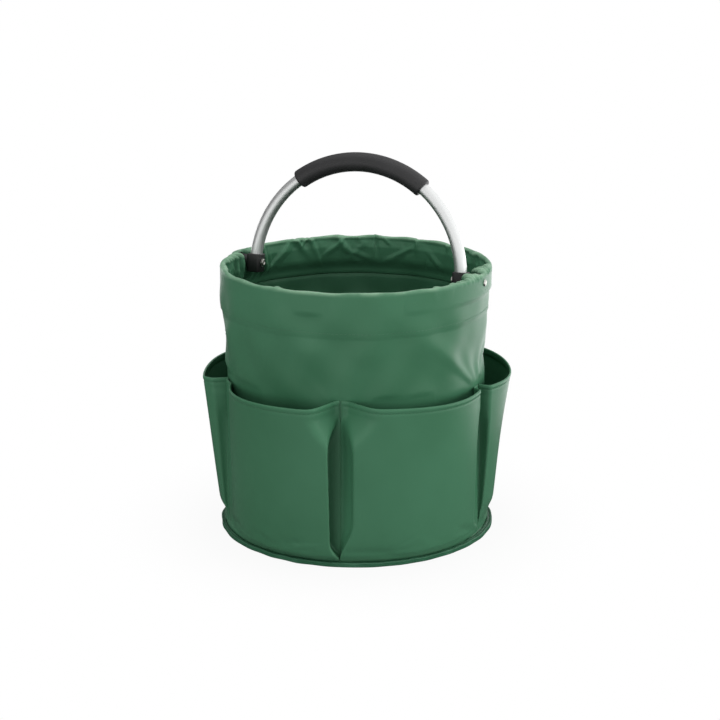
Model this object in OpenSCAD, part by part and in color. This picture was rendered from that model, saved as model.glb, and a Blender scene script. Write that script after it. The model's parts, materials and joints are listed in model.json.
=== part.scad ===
// Round garden tool bag: a bucket of coated fabric with five outside pockets,
// a hoop sewn into its rim, and a tubular bail handle on two riveted pivots.
// Millimetres. Origin at the centre of the underside, +Z up, pivot axis along X.

/* [Bag wall] */
// Height of the rim above the floor
body_h = 290; // [250:1:330]
// Outside diameter at the rim
rim_d = 290; // [270:1:320]
// How much narrower the wall is at the waist, where it is slimmest
waist_in = 12; // [2:1:30]
// Height of the waist above the floor
waist_z = 182; // [140:1:200]
// How much narrower the wall is at its foot
foot_in = 8; // [0:1:20]
// Thickness of the coated fabric
fabric_t = 1; // [0.7:0.1:1.4]

/* [Rim hem and hoop] */
// Depth of the turned-in hem, from the rim down
hem_h = 45; // [38:1:60]
// Height of the sewn strip along the lower edge of the hem
hem_sewn_h = 7; // [4:1:10]
// Free width inside the hem, where the hoop lies
hem_channel = 4; // [3:0.1:6]
// Height of the flat hoop in the hem
hoop_h = 20; // [14:1:24]
// Thickness of the hoop
hoop_t = 2; // [1:0.1:2.5]

/* [Base] */
// How far the bound seam stands out from the foot of the wall
flange_w = 7.4; // [6:0.1:10]
// Thickness of the binding tape round the seam
binding_t = 1; // [0.6:0.1:1.4]
// Width of the binding's leg under the base
binding_under_w = 8.4; // [6:0.1:12]
// Width of the binding's leg above the seam
binding_over_w = 3.9; // [2.5:0.1:4.5]
// Thickness of the stiffening board inside the base
board_t = 2.5; // [1.5:0.1:4]
// Gap between the board's edge and the wall
board_gap = 1.5; // [0.5:0.1:4]

/* [Pockets] */
// Height of the pocket mouths above the floor
pocket_h = 172; // [130:1:190]
// How far a pocket stands off the wall at its mouth
pocket_bulge = 31; // [18:1:40]
// How far a pocket stands off the wall near its foot
pocket_foot_bulge = 8; // [4:1:14]
// Height over which a pocket swells out above the base seam
pocket_swell_h = 16; // [10:1:30]

/* [Handle] */
// Height of the pivots below the rim
pivot_drop = 10; // [8:0.5:16]
// How far the handle leans to the back as it stands, in degrees
handle_lean = 8; // [-20:1:20]
// How far the centre of the handle's bend lies below the pivots
bend_drop = 3; // [1:0.5:5]
// How far the tube's ends run on below the pivots
tube_end = 8; // [6:0.5:9]
// Outside diameter of the handle tube
tube_d = 13; // [9:0.1:13.5]
// Wall of the handle tube
tube_t = 1; // [0.8:0.1:1.5]
// Outside diameter of the foam grip
grip_d = 20.5; // [16:0.5:26]
// Length of the grip along the bend
grip_l = 152; // [100:1:200]
// Width of the slit along the grip
grip_slit = 2; // [0.6:0.1:3]
// Where the slit lies round the grip, counted from its top towards the back
grip_slit_angle = 35; // [0:1:90]

/* [Pivots] */
// Thickness of a socket across the tube, towards the bag's axis
socket_x = 15.6; // [15.2:0.1:20]
// Width of a socket along the rim
socket_y = 17; // [15.5:0.5:22]
// Height of a socket above the pivot
socket_up = 9; // [6:0.5:14]
// Depth of a socket below the pivot
socket_down = 11; // [10.5:0.5:16]
// Corner radius of a socket
socket_corner = 3; // [1:0.5:5]
// Diameter of the round hub that bears on the rim
hub_d = 15; // [11:0.5:18]
// Length of the hub
hub_l = 10.2; // [3:0.1:14]
// Diameter of the rivet's shank
rivet_d = 5; // [3:0.1:6]
// Diameter of the rivet's domed head, outside the wall
head_d = 7.6; // [7:0.1:10]
// Height of the domed head
head_h = 2; // [1:0.1:3]
// Diameter of the rivet's rolled end, inside the bag
rolled_d = 7.4; // [6.8:0.1:9]
// Height of the rolled end
rolled_h = 1.4; // [0.8:0.1:2]
// Diameter of the hole in the rolled end
rolled_hole_d = 3; // [1.5:0.1:3.4]
// Depth of the hole in the rolled end
rolled_hole_l = 5; // [2:0.5:8]
// Diameter of the steel washer under the rolled end
end_washer_d = 9.4; // [8:0.1:13]
// Thickness of the steel washer
end_washer_t = 0.8; // [0.5:0.1:1.5]
// Diameter of the nylon washer between hub and hem
hub_washer_d = 18; // [16:0.5:24]
// Thickness of the nylon washer
hub_washer_t = 1.5; // [0.8:0.1:3]

/* [Clearances] */
// Radial running clearance of the rivet in what turns on it
run_clear = 0.05; // [0.02:0.01:0.1]
// Radial clearance of the rivet in the fabric, the hoop and the washers
hole_clear = 0.1; // [0.05:0.01:0.3]
// Gap between faces that turn past each other
turn_gap = 0.3; // [0.2:0.05:0.6]
// Gap between pieces that are sewn or pressed together
seat_gap = 0.1; // [0.05:0.05:0.3]

/* [Hidden] */
pocket_names = ["pocket_right", "pocket_back", "pocket_left", "pocket_front_left", "pocket_front_right"];

fabric_green = "#3f6b50";
binding_green = "#2c5a43";
board_grey = "#55585a";
black = "#191b1b";
foam_black = "#2b2b2c";
aluminium = "#c9cccb";
nickel = "#d8d8d4";

$fn = 96;
wall_steps = 12;
fold_steps = 8;
pocket_cols = 20;
pocket_levels = 7;
pocket_box = 8;
pocket_side = 2 / 3;
bore_reach = 2 * rim_d;

rim_r = rim_d / 2;
waist_r = (rim_d - waist_in) / 2;
foot_r = (rim_d - foot_in) / 2;

// The seam at the foot, from the floor up: binding, base, wall, pockets, binding
seam_base_z = binding_t;
seam_wall_z = seam_base_z + fabric_t;
seam_pocket_z = seam_wall_z + fabric_t;
seam_over_z = seam_pocket_z + fabric_t + 2 * seat_gap;
flange_r = foot_r + flange_w;
flange_in_r = flange_r - binding_t;

// The hem is folded over at the rim, round the hoop
fold_r = fabric_t + hem_channel / 2;
fold_z = body_h - fold_r;
hem_in_r = rim_r - 2 * fold_r;
hem_z = body_h - hem_h;
hem_sewn_z = hem_z + hem_sewn_h;
hoop_out_r = rim_r - fabric_t - seat_gap;
hoop_z = fold_z - hoop_h;
shoulder_z = hoop_z;

// Along the pivot axis, from the rim inwards
pivot_z = body_h - pivot_drop;
hub_washer_x = sqrt(pow(hem_in_r, 2) - pow(hub_washer_d / 2, 2)) - seat_gap - hub_washer_t;
hub_x = hub_washer_x - turn_gap;
socket_out_x = hub_x - hub_l;
pivot_x = socket_out_x - socket_x / 2;
socket_in_x = socket_out_x - socket_x;
end_washer_x = socket_in_x - turn_gap - end_washer_t;
rivet_r = rivet_d / 2;
run_hole_r = rivet_r + run_clear;
loose_hole_r = rivet_r + hole_clear;

// The handle's bend is a half circle through both pivots, with a straight leg below each end
bend_z = pivot_z - bend_drop;
bend_r = sqrt(pow(pivot_x, 2) + pow(bend_drop, 2));
leg_l = tube_end - bend_drop;
grip_sweep = grip_l / bend_r * 180 / PI;

pocket_step = 360 / len(pocket_names);

// Eases from 0 to 1 with level ends
function ease(u) = (1 - cos(180 * u)) / 2;

// Outside radius of the wall at a height
function wall_r(z) =
    z >= shoulder_z ? rim_r :
    z >= waist_z ? waist_r + (rim_r - waist_r) * ease((z - waist_z) / (shoulder_z - waist_z)) :
    foot_r + (waist_r - foot_r) * ease(max(0, z - seam_pocket_z) / (waist_z - seam_pocket_z));

// Heights between two levels
function levels(z0, z1, n) = [for (i = [0:n]) z0 + (z1 - z0) * i / n];

// The wall's surface, taken in by some distance, at a list of heights
function wall_line(heights, inset) = [for (z = heights) [wall_r(z) - inset, z]];

// The rounded fold at the rim, from the outside over to the inside
function fold_line(r) = [for (i = [0:fold_steps])
    let (a = 180 * i / fold_steps) [rim_r - fold_r + r * cos(a), fold_z + r * sin(a)]];

function reversed(list) = [for (i = [len(list) - 1:-1:0]) list[i]];

function unit(v) = v / norm(v);

// A plain rod along the pivot axis, right through the bag
module pivot_rod(r) {
    translate([0, 0, pivot_z]) rotate([0, 90, 0]) cylinder(r = r, h = bore_reach, center = true);
}

// A disc on the pivot axis, between two places along it
module pivot_disc(x0, x1, r) {
    translate([x0, 0, pivot_z]) rotate([0, 90, 0]) cylinder(r = r, h = x1 - x0);
}

// A ring on the pivot axis with a hole for the rivet
module pivot_ring(x0, x1, r, hole_r) {
    difference() {
        pivot_disc(x0, x1, r);
        pivot_rod(hole_r);
    }
}

module left_hand() {
    mirror([1, 0, 0]) children();
}

// Side wall with its seam allowance at the foot and its turned-in hem at the rim
module side_wall() {
    wall_heights = levels(seam_pocket_z, shoulder_z, wall_steps);
    outside = concat(
        [[flange_in_r - seat_gap, seam_wall_z], [flange_in_r - seat_gap, seam_pocket_z]],
        wall_line(wall_heights, 0),
        fold_line(fold_r)
    );
    inside = concat(
        [[hem_in_r, shoulder_z]],
        wall_line([hem_sewn_z, hem_z], 2 * fabric_t),
        wall_line([hem_z], fabric_t),
        wall_line(reversed([for (z = wall_heights) if (z < hem_z) z]), fabric_t),
        [[foot_r - fabric_t, seam_wall_z]]
    );
    channel = concat(
        wall_line(concat([hem_sewn_z], [for (z = wall_heights) if (z > hem_sewn_z) z]), fabric_t),
        fold_line(fold_r - fabric_t),
        [[hem_in_r + fabric_t, shoulder_z]]
    );
    color(fabric_green) difference() {
        rotate_extrude() difference() {
            polygon(concat(outside, inside));
            polygon(channel);
        }
        pivot_rod(loose_hole_r);
    }
}

// Flat hoop inside the hem, which keeps the mouth round
module rim_hoop() {
    color(board_grey) difference() {
        translate([0, 0, hoop_z]) cylinder(r = hoop_out_r, h = hoop_h);
        translate([0, 0, hoop_z - hoop_t]) cylinder(r = hoop_out_r - hoop_t, h = hoop_h + 2 * hoop_t);
        pivot_rod(loose_hole_r);
    }
}

// Round base of fabric, lifted at its edge to lie on the binding
module base_panel() {
    lift_r = flange_r - binding_under_w - seat_gap;
    color(fabric_green) rotate_extrude() polygon([
        [0, 0], [lift_r, 0], [lift_r, seam_base_z], [flange_in_r - seat_gap, seam_base_z],
        [flange_in_r - seat_gap, seam_wall_z], [lift_r - fabric_t, seam_wall_z],
        [lift_r - fabric_t, fabric_t], [0, fabric_t]
    ]);
}

// Stiff board that lies on the base inside the bag
module base_board() {
    lift_r = flange_r - binding_under_w - seat_gap - fabric_t;
    board_r = min(foot_r - fabric_t, lift_r) - board_gap;
    color(board_grey) translate([0, 0, fabric_t]) cylinder(r = board_r, h = board_t);
}

// Tape folded round the edge of the base seam
module base_binding() {
    top_z = seam_over_z + binding_t;
    color(binding_green) rotate_extrude() polygon([
        [flange_r - binding_under_w, 0], [flange_r, 0], [flange_r, top_z],
        [flange_r - binding_over_w, top_z], [flange_r - binding_over_w, seam_over_z],
        [flange_in_r, seam_over_z], [flange_in_r, binding_t], [flange_r - binding_under_w, binding_t]
    ]);
}

// How far a pocket stands off the wall at a height
function bulge_at(z) =
    let (foot_z = seam_over_z + binding_t)
    let (rise = min(1, (z - foot_z) / pocket_swell_h))
    (pocket_foot_bulge + (pocket_bulge - pocket_foot_bulge) * (z - foot_z) / (pocket_h - foot_z))
    * sqrt(max(0, rise));

// One row of points across a pocket, from one seam to the other: a flat face between rounded sides
function pocket_row(r, z, bulge) =
    let (half = pocket_step / 2 - asin((fabric_t / 2 + seat_gap) / r))
    [for (j = [0:pocket_cols])
        let (across = cos(180 * j / pocket_cols))
        let (out = r + bulge * pow(1 - pow(abs(across), pocket_box), pocket_side))
        [out * cos(half * across), out * sin(half * across), z]];

// Outward direction of a sheet of points
function sheet_normal(g, i, j) =
    let (across = g[i][min(j + 1, len(g[0]) - 1)] - g[i][max(j - 1, 0)])
    let (up = g[min(i + 1, len(g) - 1)][j] - g[max(i - 1, 0)][j])
    unit(cross(up, across));

// A sheet of fabric along rows of points at the middle of its thickness
module fabric_sheet(g, t) {
    rows = len(g);
    cols = len(g[0]);
    side = rows * cols;
    outer = [for (i = [0:rows - 1]) for (j = [0:cols - 1]) g[i][j] + sheet_normal(g, i, j) * t / 2];
    inner = [for (i = [0:rows - 1]) for (j = [0:cols - 1]) g[i][j] - sheet_normal(g, i, j) * t / 2];
    function at(i, j) = i * cols + j;
    faces = concat(
        [for (i = [0:rows - 2]) for (j = [0:cols - 2])
            each [[at(i, j), at(i + 1, j), at(i + 1, j + 1)], [at(i, j), at(i + 1, j + 1), at(i, j + 1)]]],
        [for (i = [0:rows - 2]) for (j = [0:cols - 2])
            each [[side + at(i, j), side + at(i + 1, j + 1), side + at(i + 1, j)],
                  [side + at(i, j), side + at(i, j + 1), side + at(i + 1, j + 1)]]],
        [for (j = [0:cols - 2]) each [
            [at(0, j), at(0, j + 1), side + at(0, j + 1)],
            [at(0, j), side + at(0, j + 1), side + at(0, j)],
            [at(rows - 1, j), side + at(rows - 1, j + 1), at(rows - 1, j + 1)],
            [at(rows - 1, j), side + at(rows - 1, j), side + at(rows - 1, j + 1)]]],
        [for (i = [0:rows - 2]) each [
            [at(i, 0), side + at(i + 1, 0), at(i + 1, 0)],
            [at(i, 0), side + at(i, 0), side + at(i + 1, 0)],
            [at(i, cols - 1), at(i + 1, cols - 1), side + at(i + 1, cols - 1)],
            [at(i, cols - 1), side + at(i + 1, cols - 1), side + at(i, cols - 1)]]]
    );
    polyhedron(concat(outer, inner), faces);
}

// One pocket: caught in the base seam, sewn to the wall at both sides, open at the top
module pocket(index) {
    sheet_z = seam_pocket_z + seat_gap + fabric_t / 2;
    on_wall = seat_gap + fabric_t / 2;
    over_in_r = flange_r - binding_over_w;
    turn_r = (foot_r + over_in_r) / 2;
    swell_z = seam_over_z + binding_t;
    heights = concat(
        [swell_z + pocket_swell_h / 3],
        levels(swell_z + pocket_swell_h, pocket_h, pocket_levels)
    );
    rows = concat(
        [pocket_row(flange_in_r - seat_gap, sheet_z, 0), pocket_row(over_in_r, sheet_z, 0)],
        [pocket_row(turn_r, sheet_z + fabric_t / 4, 0)],
        [pocket_row(wall_r(swell_z) + on_wall, seam_over_z, 0)],
        [for (z = heights) pocket_row(wall_r(z) + seat_gap, z, bulge_at(z))]
    );
    color(fabric_green) rotate((index + 0.5) * pocket_step) fabric_sheet(rows, fabric_t);
}

// Turns what stands upright on the pivots back to the handle's lean
module leaned() {
    translate([0, 0, pivot_z]) rotate([-handle_lean, 0, 0]) translate([0, 0, -pivot_z]) children();
}

// Part of a ring with the handle's bend, either side of its top
module bend(sweep) {
    translate([0, 0, bend_z]) rotate([90, 0, 0])
        rotate(90 - sweep / 2) rotate_extrude(angle = sweep) translate([bend_r, 0]) children();
}

// The whole line of the tube: its bend and both legs, run on by a length
module tube_line(run_on) {
    bend(180) children();
    for (side = [-1, 1])
        translate([side * bend_r, 0, bend_z - leg_l - run_on]) linear_extrude(leg_l + run_on) children();
}

// Aluminium tube bent to a half circle, drilled for the rivets
module handle_tube() {
    color(aluminium) leaned() difference() {
        tube_line(0) difference() {
            circle(d = tube_d);
            circle(d = tube_d - 2 * tube_t);
        }
        pivot_rod(run_hole_r);
    }
}

// Foam sleeve on the middle of the tube, slit along its length
module grip_sleeve() {
    color(foam_black) leaned() bend(grip_sweep) difference() {
        circle(d = grip_d);
        circle(d = tube_d + 2 * seat_gap);
        rotate(-grip_slit_angle) translate([0, -grip_slit / 2]) square([grip_d, grip_slit]);
    }
}

// Rounded rectangle centred on a place along X
module socket_outline() {
    translate([pivot_x, 0]) {
        square([socket_x - 2 * socket_corner, socket_y], center = true);
        square([socket_x, socket_y - 2 * socket_corner], center = true);
        for (sx = [-1, 1], sy = [-1, 1])
            translate([sx * (socket_x / 2 - socket_corner), sy * (socket_y / 2 - socket_corner)])
                circle(r = socket_corner);
    }
}

// Moulded socket that holds the tube's end and turns on the rivet
module socket() {
    past_end = 1;
    color(black) leaned() difference() {
        union() {
            translate([0, 0, pivot_z - socket_down])
                linear_extrude(socket_down + socket_up) socket_outline();
            pivot_disc(pivot_x, hub_x, hub_d / 2);
        }
        tube_line(past_end) circle(d = tube_d + 2 * seat_gap);
        pivot_rod(run_hole_r);
    }
}

// Tubular rivet: domed head on the wall, shank along the pivot axis, rolled end inside
module pivot_rivet() {
    dome_r = (pow(head_d / 2, 2) + pow(head_h, 2)) / (2 * head_h);
    end_x = end_washer_x - rolled_h;
    color(nickel) difference() {
        union() {
            pivot_disc(end_x + rolled_h / 2, rim_r + head_h / 2, rivet_r);
            pivot_disc(end_x, end_washer_x, rolled_d / 2);
            translate([rim_r, 0, pivot_z]) rotate([0, 90, 0]) rotate_extrude() intersection() {
                translate([0, head_h - dome_r]) circle(r = dome_r);
                square([head_d / 2, head_h]);
            }
        }
        pivot_disc(end_x - rolled_h, end_x + rolled_hole_l, rolled_hole_d / 2);
    }
}

// Steel washer under the rivet's rolled end
module rivet_washer() {
    color(nickel) pivot_ring(end_washer_x, end_washer_x + end_washer_t, end_washer_d / 2, loose_hole_r);
}

// Nylon washer that keeps the turning hub off the fabric
module hub_washer() {
    color(black) pivot_ring(hub_washer_x, hub_washer_x + hub_washer_t, hub_washer_d / 2, loose_hole_r);
}

side_wall();
rim_hoop();
base_panel();
base_board();
base_binding();
pocket(0);  // pocket_right
pocket(1);  // pocket_back
pocket(2);  // pocket_left
pocket(3);  // pocket_front_left
pocket(4);  // pocket_front_right
handle_tube();
grip_sleeve();
socket();  // socket_right
left_hand() socket();  // socket_left
pivot_rivet();  // pivot_rivet_right
left_hand() pivot_rivet();  // pivot_rivet_left
rivet_washer();  // rivet_washer_right
left_hand() rivet_washer();  // rivet_washer_left
hub_washer();  // hub_washer_right
left_hand() hub_washer();  // hub_washer_left
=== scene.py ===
import json
import math
from collections import namedtuple

import bpy
import numpy as np
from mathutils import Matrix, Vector


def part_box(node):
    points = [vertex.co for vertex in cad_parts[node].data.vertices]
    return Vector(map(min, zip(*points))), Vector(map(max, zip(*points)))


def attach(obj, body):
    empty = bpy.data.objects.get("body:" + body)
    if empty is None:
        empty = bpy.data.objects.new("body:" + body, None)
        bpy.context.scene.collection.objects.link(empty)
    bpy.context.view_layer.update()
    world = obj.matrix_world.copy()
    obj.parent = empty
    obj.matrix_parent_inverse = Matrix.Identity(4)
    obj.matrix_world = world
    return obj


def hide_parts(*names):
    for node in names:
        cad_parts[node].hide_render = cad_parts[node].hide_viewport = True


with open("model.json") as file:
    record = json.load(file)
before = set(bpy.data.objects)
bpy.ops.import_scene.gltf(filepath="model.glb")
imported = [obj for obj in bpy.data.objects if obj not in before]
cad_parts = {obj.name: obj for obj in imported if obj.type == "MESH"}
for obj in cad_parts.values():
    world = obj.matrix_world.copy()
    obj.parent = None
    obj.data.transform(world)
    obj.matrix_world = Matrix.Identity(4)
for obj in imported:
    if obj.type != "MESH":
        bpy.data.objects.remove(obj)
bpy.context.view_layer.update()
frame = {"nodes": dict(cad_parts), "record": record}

# A round garden tool bag of coated fabric: gathered rim, five outside pockets, bound base, bail handle.
# Metres, in the frame's own axes: the pivots lie along X and the bag stands on z = 0.
scene = bpy.context.scene
MM = 0.001
WHOLE_TURN = 2 * math.pi

# Sizes taken from the frame
hoop_low, hoop_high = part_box("rim_hoop")
hoop_t = 2 * MM
hoop_out_r = hoop_high.x
hoop_in_r = hoop_out_r - hoop_t
body_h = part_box("side_wall")[1].z
binding_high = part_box("base_binding")[1]
flange_r = binding_high.x
binding_h = binding_high.z
pocket_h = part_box("pocket_back")[1].z
hub_washer_low, hub_washer_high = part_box("hub_washer_right")
pivot_z = (hub_washer_low.z + hub_washer_high.z) / 2
socket_low, socket_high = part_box("socket_right")
rivet_low, rivet_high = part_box("pivot_rivet_right")
tube_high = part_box("handle_tube")[1]
grip_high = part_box("grip_sleeve")[1]
hang_point = next(m["pos_m"] for m in frame["record"]["mounts"] if m["name"] == "hang_point")

# Sizes of the handle, which leans back about its pivots
handle_lean = math.atan2(hang_point[1], hang_point[2] - pivot_z)
tube_r = 6.5 * MM
grip_r = 10.25 * MM
bend_drop = 3 * MM
bend_r = tube_high.x - tube_r
bend_z = pivot_z - bend_drop
grip_half_sweep = math.asin(grip_high.x / (bend_r + grip_r))
socket_t = 15.6 * MM
socket_half_w = 8.5 * MM
socket_up = 9 * MM
socket_down = 11 * MM

# Sizes of the fabric work
fabric_t = 1.0 * MM
shown_t = 0.9 * MM
rim_r = hoop_out_r + 1.1 * MM
waist_r = rim_r - 6 * MM
waist_z = 182 * MM
foot_r = rim_r - 4 * MM
shoulder_z = hoop_low.z
fold_r = 3 * MM
fold_z = body_h - fold_r
hem_low_z = body_h - 45 * MM
hem_sewn_z = hem_low_z + 7 * MM
hem_mid_r = rim_r - 2 * fold_r + fabric_t / 2
hem_least_r = 129.5 * MM
gather_least_r = 125.8 * MM
hub_least_r = 128.4 * MM
hub_clear = 14 * MM
gather_half_w = 34 * MM
rivet_hold_r = 10 * MM
tuck_h = 6.5 * MM
tuck_lift = 1.3 * MM
hem_crease_h = 2.4 * MM
hem_stitch_z = hem_low_z + 3 * MM
lone_tucks = 12
hem_crease_count = 70
wall_cols = 720

# Tucks by a pivot: how far beside it each lies, in millimetres, and how deep it is
gather_depths = ((-46, 0.7), (-38, 0.9), (-30, 0.9), (-23, 1.4), (-16.2, 2.4), (-11.5, 1.2),
                 (11.5, 1.2), (16.2, 2.4), (23, 1.4), (30, 0.9), (38, 1.0), (46, 0.7))
gather_crease_count = 26
deepest_tuck = 2.4

# Lone folds of the hem: angle in degrees and height in millimetres of its middle, lean from upright, half
# width and half length in millimetres, width of its steeper side as a share of the other, and how far it
# stands in
Fold = namedtuple("Fold", "angle z lean half_w half_l skew depth")
hem_folds = (
    Fold(141.2, 286, 0.68, 3, 7, 0.7, 1.5),
    Fold(137.8, 286, -0.71, 3, 7, 0.7, 1.4),
    Fold(134.8, 288, 0.2, 4, 6, 0.5, 1.2),
    Fold(122.8, 279, -0.93, 6, 15, 0.4, 1.4),
    Fold(103.7, 283, 0.1, 5, 11, 0.3, -1.2),
    Fold(83.2, 286, 0, 6, 8, 0.3, 1.3),
    Fold(65.3, 288, 0.1, 7, 6, 0.6, 1.2),
    Fold(112, 268, 1.2, 6, 16, 0.5, 0.9),
    Fold(92, 270, -1.1, 7, 18, 0.5, 0.9),
    Fold(150.8, 275, -0.86, 9, 24, 0.3, 1.6),
    Fold(161.7, 267, 0.03, 4.5, 20, 0.7, 1.5),
    Fold(72, 266, 0.9, 6, 14, 0.5, 0.9),
)
seam_z = 3.6 * MM
wall_stands_out = 4 * MM
lap_half_w = 5 * MM
lap_angle = math.radians(198)
drawn_in = 3.5 * MM
drawn_in_angle = math.radians(16)
drawn_in_half_w = 85 * MM

# Steps of height up the wall, with the share of its drawing in, how far its folds and dents stand in
# millimetres, how much longer it is cut across, how firmly it keeps its drawn shape, and how far the tucks of
# the hem draw it in, in millimetres
drawn_in_steps = ((172 * MM, 0), (192 * MM, 1), (262 * MM, 1), (284 * MM, 0))
loose_steps = ((60 * MM, 0.2), (190 * MM, 1.0), (225 * MM, 1.0), (262 * MM, 0.6), (285 * MM, 0.2))
wall_slack_steps = ((0, 1.0), (160 * MM, 1.001), (200 * MM, 1.004), (hem_low_z, 1.005), (fold_z, 1.006))
wall_hold_steps = ((0, 1), (20 * MM, 0.3), (160 * MM, 0.1), (200 * MM, 0.03), (238 * MM, 0.03),
                   (247 * MM, 0.08), (254 * MM, 0.06), (262 * MM, 0.04))
tuck_steps = ((258 * MM, 0), (fold_z, 0.8))

# Steps of height up the hem, with how far it slumps in, in millimetres, how much longer it is cut across, and
# how firmly it keeps its drawn shape
hem_slump_steps = ((hem_sewn_z, 0), (264 * MM, 2.2), (277 * MM, 2.6), (fold_z, 0))
hem_slack_steps = ((hem_low_z, 1.003), (hem_sewn_z, 1.01), (266 * MM, 1.03), (fold_z, 1.02))
hem_hold_steps = ((hem_low_z, 0.5), (hem_sewn_z, 0.3), (258 * MM, 0.02))

# Sizes of the pockets
pocket_names = ["pocket_right", "pocket_back", "pocket_left", "pocket_front_left", "pocket_front_right"]
pocket_step = WHOLE_TURN / len(pocket_names)
front_seam_shift = math.radians(-1.6)
pocket_seams = np.arange(len(pocket_names) + 1) * pocket_step
pocket_seams[pocket_names.index("pocket_front_right")] += front_seam_shift
pocket_bulge = 31 * MM
pocket_hem_h = 6 * MM
pocket_hem_stitch = 4.2 * MM
pocket_hem_gap = 1.3 * MM
pocket_cols = 161
side_cols = 90
face_cols = 302
roll_z = 7.8 * MM
roll_out = 3.2 * MM
roll_half_h = 2.6 * MM
flat_roll_angle = math.radians(4)
flat_roll_half_w = 38 * MM
groove_z = 18 * MM
groove_half_h = 5 * MM
foot_crease_count = 16
valley_low_z = 5 * MM
valley_top_z = 160 * MM
valley_top_h = 40 * MM
seam_gap = 0.01 * MM
slit_gap = 1.0 * MM
slit_h = 18 * MM

# How far above its even height the mouths lie at each pocket seam
mouth_rise = np.array([-3.0, 0, 0, -1.5, 5.0]) * MM

# A side of a pocket, in millimetres: how far from its seam the fold between gusset and face lies, how far
# the gusset is creased in under the face, the share of it that lies on the wall, the share of the pocket's
# stand at which the fold lies, the width over which the mouth comes back to the wall, the share of the fold
# left at the mouth, the height over which it opens from the foot, and how softly it is folded
Gusset = namedtuple("Gusset", "valley crease floor edge mouth top foot soft")

# A pocket: how full it stands at its middle, how that leans across it and changes towards both its sides, how
# far its foot stands and the height in which it swells to that, in millimetres
Pocket = namedtuple("Pocket", "fullness lean crown foot swell first last")
pocket_forms = {
    "pocket_right": Pocket(1.02, 0.1, -0.5, 6, 26,
                           Gusset(1, 2, 0.9, 1, 12, 1, 20, 2),
                           Gusset(13, 5, 0.4, 1, 22, 0.5, 30, 4)),
    "pocket_back": Pocket(0.92, 0.06, -0.06, 8, 20,
                          Gusset(14, 6, 0.3, 1, 24, 0.4, 30, 4),
                          Gusset(13, 5, 0.3, 1, 26, 0.3, 36, 5)),
    "pocket_left": Pocket(0.74, 0.10, 0.0, 6, 26,
                          Gusset(13, 5, 0.4, 1, 22, 0.4, 30, 4),
                          Gusset(1, 1.5, 0.8, 0.68, 11, 1, 20, 3)),
    "pocket_front_left": Pocket(0.90, 0.66, -0.48, 11, 10,
                                Gusset(3, 2, 0.8, 1, 8, 1, 20, 1.8),
                                Gusset(9, 8, 0.9, 1, 22, 0, 24, 2.2)),
    "pocket_front_right": Pocket(0.72, -0.30, -0.20, 11, 10,
                                 Gusset(14.5, -2, 0.35, 1, 34, 0, 46, 5),
                                 Gusset(20, 11, 0.95, 1, 15, 0.72, 22, 1.2)),
}

# Sewing
stitch_pitch = 4.2 * MM
stitch_l = 3.1 * MM
thread_r = 0.24 * MM


# Nets of points and the pieces made from them

def unit(v):
    """Vectors scaled to length 1."""
    return v / np.maximum(np.linalg.norm(v, axis=-1, keepdims=True), 1e-12)


def ease(u):
    """Goes from 0 to 1 with level ends."""
    return (1 - np.cos(np.pi * np.clip(u, 0, 1))) / 2


def by_height(z, steps):
    """A value that is given at steps of height, at other heights too."""
    heights, values = np.array(steps).T
    return np.interp(z, heights, values)


def round_axis(radius, angle, height):
    """Points on circles round the bag's axis."""
    radius, angle, height = np.broadcast_arrays(radius, angle, height)
    return np.stack([radius * np.cos(angle), radius * np.sin(angle), height], -1)


def net_faces(rows, cols, closed):
    """Four-cornered faces of a net of points, closed across if asked."""
    i, j = np.meshgrid(np.arange(rows - 1), np.arange(cols if closed else cols - 1), indexing="ij")
    k = (j + 1) % cols
    corners = [i * cols + j, i * cols + k, (i + 1) * cols + k, (i + 1) * cols + j]
    return np.stack(corners, -1).reshape(-1, 4).tolist()


def net_normals(net, closed):
    """Outward directions of a net of points."""
    across = np.roll(net, -1, 1) - np.roll(net, 1, 1) if closed else np.gradient(net, axis=1)
    return unit(np.cross(across, np.gradient(net, axis=0)))


def new_piece(name, points, faces, finish):
    """A smooth mesh piece in the scene."""
    mesh = bpy.data.meshes.new(name)
    mesh.from_pydata(np.reshape(points, (-1, 3)).tolist(), [], faces)
    mesh.polygons.foreach_set("use_smooth", [True] * len(mesh.polygons))
    mesh.materials.append(finish)
    mesh.update()
    piece = bpy.data.objects.new(name, mesh)
    scene.collection.objects.link(piece)
    return piece


def fabric_piece(name, net, closed, finish, extra_faces=()):
    """A sheet of fabric along a net of points at the middle of its thickness."""
    faces = net_faces(*net.shape[:2], closed) + list(extra_faces)
    piece = new_piece(name, net, faces, finish)
    thick = piece.modifiers.new("fabric thickness", "SOLIDIFY")
    thick.thickness = shown_t
    thick.offset = 0
    return piece


def lofted(name, rings, finish):
    """A closed body through rings of points, with a flat face on its first and last ring."""
    rings = np.asarray(rings)
    rows, cols = rings.shape[:2]
    first = list(range(cols))[::-1]
    last = list(range((rows - 1) * cols, rows * cols))
    return new_piece(name, rings, net_faces(rows, cols, True) + [first, last], finish)


def joined(name, pieces):
    """Several pieces made into one."""
    bpy.ops.object.select_all(action="DESELECT")
    for piece in pieces:
        piece.select_set(True)
    bpy.context.view_layer.objects.active = pieces[0]
    bpy.ops.object.join()
    pieces[0].name = name
    return pieces[0]


def run_along(line):
    """Distances of a line's points from its start, along the line."""
    return np.concatenate([[0], np.cumsum(np.linalg.norm(np.diff(line, axis=0), axis=1))])


def at_run(spots, run, values):
    """Points or directions that belong to a line, at distances along it."""
    return np.stack([np.interp(spots, run, values[:, k]) for k in range(values.shape[1])], 1)


def evenly(line, count):
    """Points spaced evenly along a line of points."""
    run = run_along(line)
    return at_run(np.linspace(0, run[-1], count), run, line)


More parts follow.
